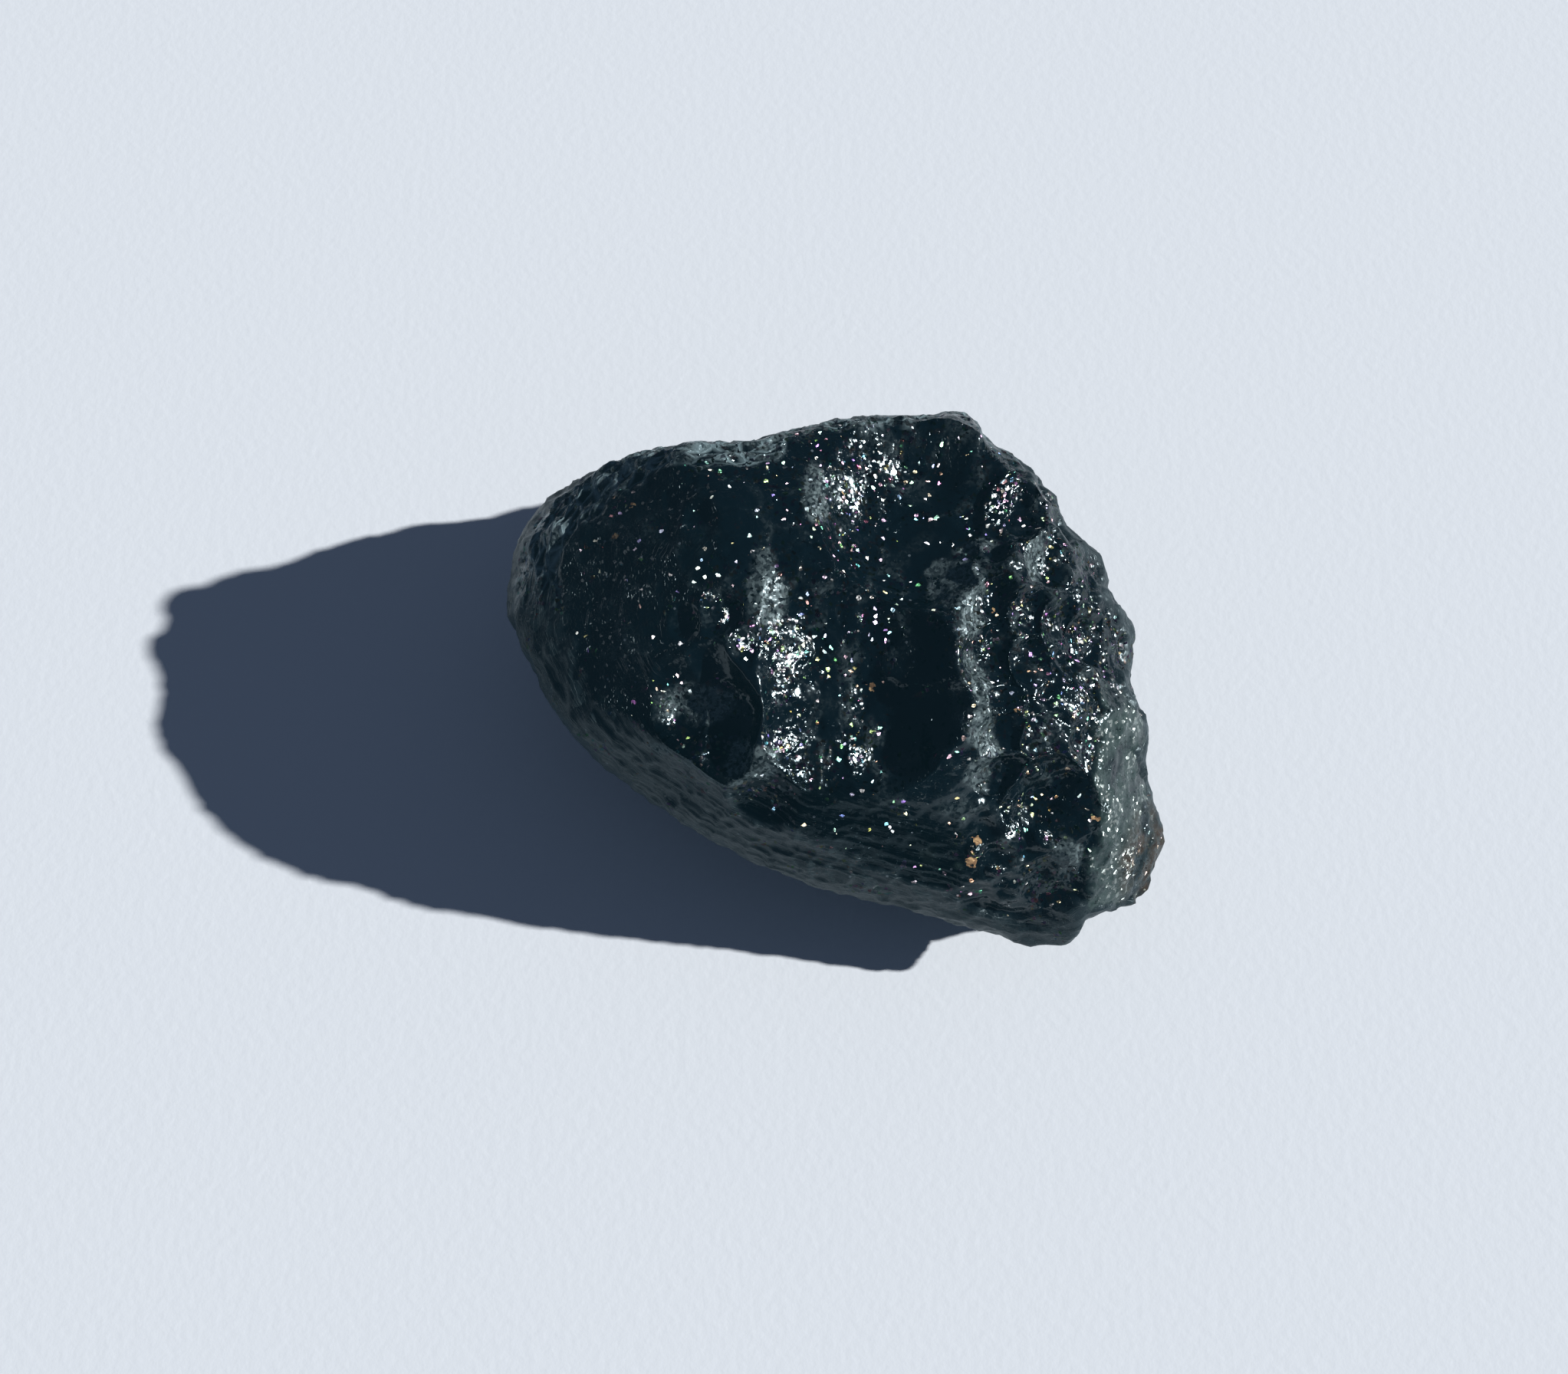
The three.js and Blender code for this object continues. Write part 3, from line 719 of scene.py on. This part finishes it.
def glitterGroup():
    # each cell is a tiny flake with its own tilt; a few flakes are mirrors with a pale tint;
    # the aimed height tilts every flake towards one direction instead
    group, given, result = newGroup("glitterSkin", flakeInputs, {
        "Height": "Float", "Mirror": "Float", "Tint": "Color", "Speck": "Float", "Grain": "Float",
        "Wear": "Float", "Ragged": "Float", "Luck": "Float", "Aimed": "Float"})
    place = group.nodes.new("ShaderNodeTexCoord").outputs["Object"]
    bend = noiseNode(group, place, flakeShape["bendsPerMetre"], 1.0).node.outputs["Color"]
    bend = vectorMath(group, "SUBTRACT", bend, (0.5, 0.5, 0.5))
    bent = vectorMath(group, "ADD", place, vectorMath(group, "MULTIPLY", bend, (flakeShape["bend"],) * 3))
    cell = cellsNode(group, bent, given["Flakes per metre"]).outputs
    chance = separate(group, cell["Color"])
    lean = vectorMath(group, "SUBTRACT", cell["Color"], (0.5, 0.5, 0.5))
    steep = line(group, mathNode(group, "POWER", chance[2], 2.0), flakeShape["steepSlope"],
                 flakeShape["steepStart"])
    offset = vectorMath(group, "SUBTRACT", bent, cell["Position"])
    tilted = times(group, vectorMath(group, "DOT_PRODUCT", offset, lean), steep, given["Tilt"])
    pits = cellsNode(group, place, given["Pits per metre"], "SMOOTH_F1")
    pits.inputs["Smoothness"].default_value = flakeShape["pitSmoothness"]
    wrinkle = noiseNode(group, place, flakeShape["wrinklesPerMetre"], 3.0)
    rough = plus(group, pits.outputs["Distance"], times(group, wrinkle, flakeShape["wrinkle"]))
    straight = vectorMath(group, "SUBTRACT", place, cell["Position"])
    towards = tuple(float(value) for value in -turnToWorld(*flakeShape["facing"]))
    tint = group.nodes.new("ShaderNodeCombineColor")
    tint.mode = "HSV"
    fill(group, tint.inputs, (chance[1], times(group, chance[2], flakeShape["tintSlope"]),
                              flakeShape["tintLight"]))
    specks = cellsNode(group, place, flakeShape["specksPerMetre"]).outputs
    small = mathNode(group, "LESS_THAN", specks["Distance"], flakeShape["speckRadius"])
    chosen = above(group, separate(group, specks["Color"])[0], flakeShape["specksAbove"])
    values = {
        "Height": plus(group, tilted, times(group, rough, given["Pit Depth"])),
        "Mirror": above(group, chance[0], flakeShape["mirrorsAbove"]),
        "Tint": tint.outputs["Color"],
        "Speck": times(group, small, chosen),
        "Grain": mathNode(group, "MULTIPLY", mathNode(group, "POWER", chance[1], 2.0),
                          flakeShape["grainSlope"], clamp=True),
        "Wear": noiseNode(group, place, flakeShape["wearPerMetre"], 4.0),
        "Ragged": noiseNode(group, place, flakeShape["raggedPerMetre"], 3.0),
        "Luck": chance[0],
        "Aimed": vectorMath(group, "DOT_PRODUCT", straight, towards),
    }
    for label, value in values.items():
        group.links.new(value, result[label])
    return group


glass = {
    "index": 1.5, "specular": 0.42,
    "gloss": (0.78, 0.95, 1.0),
    "paintedGlow": (0.0020, 0.0062, 0.0088),   # painted glow: faint light given off so the darkest glass isn't black
    "colour": (0.0008, 0.0036, 0.0060),
    "satinColour": (0.0008, 0.0045, 0.0070),
    # pale colour of the frosted patches, partly frost and partly painted sheen; the lines use it too
    "paleColour": (0.085, 0.112, 0.115),
    "rindColour": (0.011, 0.020, 0.024),
    "flangeColour": (0.022, 0.037, 0.034),
    "grainColour": (0.36, 0.40, 0.38),  # sparkling grains of the flange
    "speckColour": (0.14, 0.17, 0.19),
    # pale colour of the net's ridges, a painted highlight
    "webHighlightColour": (0.16, 0.22, 0.235),
    # brown painted light where the sun shines through the thin corner
    "brownColour": (0.046, 0.026, 0.013),
    "soilColour": (0.52, 0.33, 0.16), "darkSoilColour": (0.20, 0.11, 0.05),
    "polish": 0.14, "satinRoughness": 0.20, "frostAndSheenRoughness": 0.34,
    "rindRoughness": 0.46, "flangeRoughness": 0.24, "mirrorRoughness": 0.11, "soilRoughness": 0.9,
    "hazeSlope": 2.4, "hazeGrain": (1.2, 0.28), "hazeGaps": (5.0, -1.6),  # slope and start of each line
    "blotch": (5.0, -1.6), "shineThrough": (7.0, -2.6), "dust": 0.45,
    "lineColour": 0.16, "speck": 0.6,
    "soilRagged": 1.5, "soilAbove": 1.2,
    "streakDim": 0.65, "rindDim": 0.15, "brownDim": 0.6,  # a little metal over black dims reflections
}

marks = {
    "lineStretch": (0.3, 0.3, 2.4), "lineDetail": 3.0, "lineSharpness": 26.0, "lineHeight": 0.00002,
    "wispScale": 0.45, "wispDetail": 2.0, "wisp": (9.0, -5.0), "wispStrength": 0.7,
    "streakStrength": 0.25,
    "webStretch": (0.75, 0.75, 1.5), "webSharpness": 5.5, "webHeight": 0.00008,
}


def flowLines(tree, skin):
    # thin lines where stretched noise crosses its middle value, on the rind, the streaks and in wisps
    stretched = vectorMath(tree, "MULTIPLY", skin["flow"], marks["lineStretch"])
    noise = noiseNode(tree, stretched, 1.0, marks["lineDetail"])
    swirl = mathNode(tree, "ABSOLUTE", mathNode(tree, "SUBTRACT", noise, 0.5))
    lines = line(tree, swirl, -marks["lineSharpness"], 1.0, clamp=True)
    wisps = noiseNode(tree, skin["flow"], marks["wispScale"], marks["wispDetail"])
    wisps = times(tree, line(tree, wisps, *marks["wisp"], clamp=True), marks["wispStrength"], skin["satin"])
    streaks = times(tree, skin["streak"], marks["streakStrength"])
    return times(tree, lines, largest(tree, skin["rind"], streaks, wisps))


def netWeb(tree, skin):
    # 1 on the borders between stretched cells, the net's ridges: raised a little and painted pale as
    # highlights
    cells = vectorMath(tree, "MULTIPLY", skin["flow"], marks["webStretch"])
    distance = cellsNode(tree, cells, 1.0, "DISTANCE_TO_EDGE").outputs["Distance"]
    return times(tree, line(tree, distance, -marks["webSharpness"], 1.0, clamp=True), skin["net"])


glints = {
    "patch": (-5.0, 2.5), "patchBelow": 0.45,   # slope and start over the wear, then the limit
    "plainShare": 0.6,
    "luckOnDull": -0.022, "luckOnWear": 0.1, "rareAbove": 1.018,
    "cluster": (6.0, -2.2), "clusterAbove": 0.42, "aimedAbove": 0.35,
    "matte": 0.8, "matteFlange": 0.5,           # flakes on matte skin are weaker mirrors
    "calmHeight": -0.7, "evenShare": 0.7, "bareHeight": (0.7, 0.3), "rareHeight": -0.8, "aimedHeight": 1.4,
}


def addGlints(tree, skin):
    # adds to the skin: which flakes are aimed, rare or mirrors, and where the glass is quiet or plain
    wear = skin["Wear"]
    skin["quiet"] = largest(tree, skin["rind"], skin["satin"], skin["calm"])
    skin["plain"] = times(tree, skin["flange"], rest(tree, skin["brown"]))
    hushed = plus(tree, skin["quiet"], times(tree, skin["plain"], glints["plainShare"]))
    patch = plus(tree, hushed, line(tree, wear, *glints["patch"]))
    patch = mathNode(tree, "LESS_THAN", patch, glints["patchBelow"])
    luck = line(tree, plus(tree, hushed, skin["net"]), glints["luckOnDull"], skin["Luck"])
    luck = plus(tree, luck, times(tree, wear, glints["luckOnWear"]))
    skin["rare"] = times(tree, above(tree, luck, glints["rareAbove"]), rest(tree, skin["rind"]))
    cluster = mathNode(tree, "MULTIPLY", skin["even"], line(tree, wear, *glints["cluster"]), clamp=True)
    cluster = times(tree, cluster, above(tree, skin["Luck"], glints["clusterAbove"]))
    skin["aim"] = largest(tree, cluster, skin["rare"])
    patch = largest(tree, patch, above(tree, skin["aim"], glints["aimedAbove"]))
    matte = times(tree, largest(tree, skin["frostAndSheen"], skin["brown"]), glints["matte"])
    matte = largest(tree, matte, times(tree, skin["flange"], glints["matteFlange"]))
    skin["mirror"] = times(tree, skin["Mirror"], patch, rest(tree, matte))


def addSheenAndDirt(tree, skin):
    # adds to the skin: a pale cover over the frosted patches, partly frost and partly painted sheen, and the
    # ragged crumbs of soil
    paleCover = times(tree, skin["Wear"], glass["hazeSlope"])
    paleCover = mathNode(tree, "MULTIPLY", skin["frostAndSheen"], paleCover, clamp=True)
    gaps = line(tree, skin["Ragged"], *glass["hazeGaps"], clamp=True)
    skin["paleCover"] = times(tree, paleCover, line(tree, skin["Grain"], *glass["hazeGrain"]), gaps)
    ragged = times(tree, skin["Ragged"], glass["soilRagged"])
    skin["crumb"] = above(tree, plus(tree, skin["soil"], ragged), glass["soilAbove"])


def glassColour(tree, skin):
    # from the glass upwards: satin, pale cover, flange, rind, lines, web, brown, specks, mirrors and soil
    wear, grain = skin["Wear"], skin["Grain"]
    blotches = mathNode(tree, "MULTIPLY", skin["flange"], line(tree, wear, *glass["blotch"]), clamp=True)
    dust = mathNode(tree, "MULTIPLY", skin["rind"], plus(tree, wear, glass["dust"]), clamp=True)
    # the brown is painted light where the sun shines through the thin edge
    shineThrough = mathNode(tree, "MULTIPLY", skin["brown"], line(tree, wear, *glass["shineThrough"]), clamp=True)
    layers = (
        # the pale cover over the frosted patches is partly frost and partly painted sheen
        (skin["satin"], glass["satinColour"]), (skin["paleCover"], glass["paleColour"]),
        (blotches, glass["flangeColour"]), (dust, glass["rindColour"]),
        (times(tree, skin["lines"], glass["lineColour"]), glass["paleColour"]),
        # the web's pale colour is a painted highlight on the net's ridges
        (skin["web"], glass["webHighlightColour"]), (shineThrough, glass["brownColour"]),
        (times(tree, skin["Speck"], glass["speck"]), glass["speckColour"]),
        (skin["mirror"], mixColour(tree, skin["plain"], skin["Tint"], glass["grainColour"])),
        (skin["crumb"], mixColour(tree, grain, glass["soilColour"], glass["darkSoilColour"])),
    )
    colour = glass["colour"]
    for amount, over in layers:
        colour = mixColour(tree, amount, colour, over)
    return colour


def glassMetal(tree, skin):
    # the mirrors are metal, the dimmed skins a little, and the soil isn't
    dim = [times(tree, skin[name], glass[name + "Dim"]) for name in ("streak", "rind", "brown")]
    return times(tree, largest(tree, skin["mirror"], *dim), rest(tree, skin["crumb"]))


def glassRoughness(tree, skin):
    # the polish, plus what each kind of skin adds to it by its mask
    rough = line(tree, skin["mirror"], glass["mirrorRoughness"], glass["polish"])
    for mask, label in (("satin", "satin"), ("paleCover", "frostAndSheen"), ("flange", "flange"), ("rind", "rind")):
        more = glass[label + "Roughness"] - glass["polish"]
        rough = plus(tree, rough, times(tree, skin[mask], more))
    return largest(tree, rough, times(tree, skin["crumb"], glass["soilRoughness"]))


def glassHeight(tree, skin):
    # every flake's own tilt, weaker on quiet glass and between mirrors, and the aimed tilt over it
    calm = largest(tree, skin["quiet"], times(tree, skin["even"], glints["evenShare"]))
    calm = line(tree, calm, glints["calmHeight"], 1.0)
    bare = line(tree, skin["Mirror"], *glints["bareHeight"])
    still = line(tree, skin["rare"], glints["rareHeight"], 1.0)
    own = times(tree, skin["Height"], calm, bare, still)
    aimed = times(tree, skin["Aimed"], skin["aim"], glints["aimedHeight"])
    return plus(tree, own, aimed, times(tree, skin["lines"], marks["lineHeight"]),
                times(tree, skin["web"], marks["webHeight"]))


def bumpNormal(tree, height, distance):
    bump = tree.nodes.new("ShaderNodeBump")
    bump.inputs["Distance"].default_value = distance
    tree.links.new(height, bump.inputs["Height"])
    return bump.outputs["Normal"]


def newMaterial(name):
    material = bpy.data.materials.new(name)
    material.use_nodes = True
    return material, material.node_tree, material.node_tree.nodes["Principled BSDF"]


def blackGlass():
    material, tree, shader = newMaterial("blackGlass")
    glitter = tree.nodes.new("ShaderNodeGroup")
    glitter.node_tree = glitterGroup()
    skin = dict(glitter.outputs.items())
    for name in (*skinMasks, "brown", "soil"):
        skin[name] = attributeNode(tree, name)
    skin["flow"] = attributeNode(tree, "flow", "Vector")
    skin["lines"], skin["web"] = flowLines(tree, skin), netWeb(tree, skin)
    addGlints(tree, skin)
    addSheenAndDirt(tree, skin)
    values = {
        "Base Color": glassColour(tree, skin), "Metallic": glassMetal(tree, skin),
        "Roughness": glassRoughness(tree, skin), "Normal": bumpNormal(tree, glassHeight(tree, skin), 1.0),
        "IOR": glass["index"], "Specular IOR Level": glass["specular"], "Specular Tint": glass["gloss"],
        # the emission is a painted glow that keeps the darkest glass from going black
        "Emission Color": glass["paintedGlow"], "Emission Strength": 1.0,
    }
    fill(tree, [shader.inputs[label] for label in values], values.values())
    return material


def shineThroughMask(u, v):
    # 1 at the brown corner, painted light where the sun shines through the thin glass, falling to 0 with the
    # distance from it
    middleU, middleV = zones["shineThroughCentre"]
    away = np.hypot(u - middleU, (v - middleV) * zones["shineThroughSquash"])
    return 1 - smoothStep(away, *zones["shineThroughBorder"])


# soil crumbs on the face: u, v, radius
soilSpots = [
    (1.5, -0.8, 0.22), (8.1, -10.2, 0.26), (7.7, -11.6, 0.30), (9.0, 3.9, 0.16),
    (10.3, -2.2, 0.15), (15.5, -9.0, 0.20), (-13.2, 10.5, 0.15), (-14.3, 8.5, 0.2), (-0.2, 11.2, 0.12),
]


def soilMask(u, v):
    # 1 at each crumb's centre, falling evenly to 0 at twice its radius
    soil = np.zeros(len(u))
    for spotU, spotV, radius in soilSpots:
        soil = np.maximum(soil, 1 - np.hypot(u - spotU, v - spotV) / (2 * radius))
    return soil


skinMasks = ("rind", "net", "satin", "flange", "calm", "frostAndSheen", "even", "streak")


def makeStone():
    world, local, quads, masks = buildStone()
    piece = meshObject(stone["name"], world, quads)
    u, v, _ = local.T
    for name in skinMasks:
        addAttribute(piece, name, masks[name])
    addAttribute(piece, "soil", soilMask(u, v) * (1 - masks["behind"]))
    # the brown attribute marks painted light shining through the thin corner
    addAttribute(piece, "brown", shineThroughMask(u, v))
    addVectorAttribute(piece, "flow", masks["flow"])
    piece.data.materials.append(blackGlass())
    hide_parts("tektite")
    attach(piece, "root")
    print("stone made:", len(quads) * 2, "triangles")


floor = {
    "colour": (0.80, 0.84, 0.88), "roughness": 0.9, "specular": 0.1,
    "grainsPerMetre": 1400.0, "grainDetail": 3.0, "grainHeight": 0.00002, "size": 3.0,
}


def paleFloor():
    material, tree, shader = newMaterial("paleFloor")
    place = tree.nodes.new("ShaderNodeTexCoord").outputs["Object"]
    grain = noiseNode(tree, place, floor["grainsPerMetre"], floor["grainDetail"])
    values = {
        "Base Color": floor["colour"], "Roughness": floor["roughness"],
        "Specular IOR Level": floor["specular"], "Normal": bumpNormal(tree, grain, floor["grainHeight"]),
    }
    fill(tree, [shader.inputs[label] for label in values], values.values())
    return material


def makeFloor():
    bpy.ops.mesh.primitive_plane_add(size=floor["size"], location=(0, 0, 0))
    piece = bpy.context.object
    piece.name = "floor"
    piece.data.materials.append(paleFloor())


view = {
    "distance": 144.0, "focal": 2900.0,  # millimetres from the core point; focal length in pixels
    "imageSize": (2045, 1792),
    "corePixel": (1100, 880),            # the render's pixel that the core point falls on
    "sensorWidth": 36.0,
    "nearest": 0.005,                    # metres; what is nearer to the camera isn't drawn
}


def fromStoneAxes(u, v, w):
    # leaned, moved to the core point's place and turned from millimetres into metres
    return Vector((turnToWorld(u, v, w) + np.array(stone["core"])) * millimetre)


def makeCamera():
    # looks straight at the scooped face, moved aside until the core point falls on its pixel
    camera = bpy.data.objects.new("camera", bpy.data.cameras.new("camera"))
    width, height = view["imageSize"]
    camera.data.sensor_width = view["sensorWidth"]
    camera.data.lens = view["focal"] / width * view["sensorWidth"]
    camera.data.clip_start = view["nearest"]
    offU = (view["corePixel"][0] - width / 2) / view["focal"] * view["distance"]
    offV = (height / 2 - view["corePixel"][1]) / view["focal"] * view["distance"]
    camera.matrix_world = (Matrix.Translation(fromStoneAxes(-offU, -offV, view["distance"]))
                           @ Matrix.Rotation(np.radians(stone["faceLean"]), 4, "X"))
    bpy.context.scene.collection.objects.link(camera)
    bpy.context.scene.camera = camera


# a hard key light from the right and a weak blue fill, so the shadow is sharp and the flakes glint
light = {
    "towards": (1.73, 0.03, 1.0),  # direction from the stone to the key light
    "strength": 5.26, "spread": 1.2,
    "fillColour": (0.47, 0.64, 1.0), "fillStrength": 0.105,
}


def makeLights():
    sun = bpy.data.objects.new("key", bpy.data.lights.new("key", "SUN"))
    sun.data.energy = light["strength"]
    sun.data.angle = np.radians(light["spread"])
    sun.rotation_euler = Vector(light["towards"]).to_track_quat("Z", "Y").to_euler()
    bpy.context.scene.collection.objects.link(sun)
    world = bpy.data.worlds.new("fill")
    world.use_nodes = True
    background = world.node_tree.nodes["Background"]
    background.inputs["Color"].default_value = (*light["fillColour"], 1.0)
    background.inputs["Strength"].default_value = light["fillStrength"]
    bpy.context.scene.world = world


makeStone()
makeFloor()
makeCamera()
makeLights()
bpy.context.scene.view_settings.view_transform = "Standard"
print("camera and lights placed")
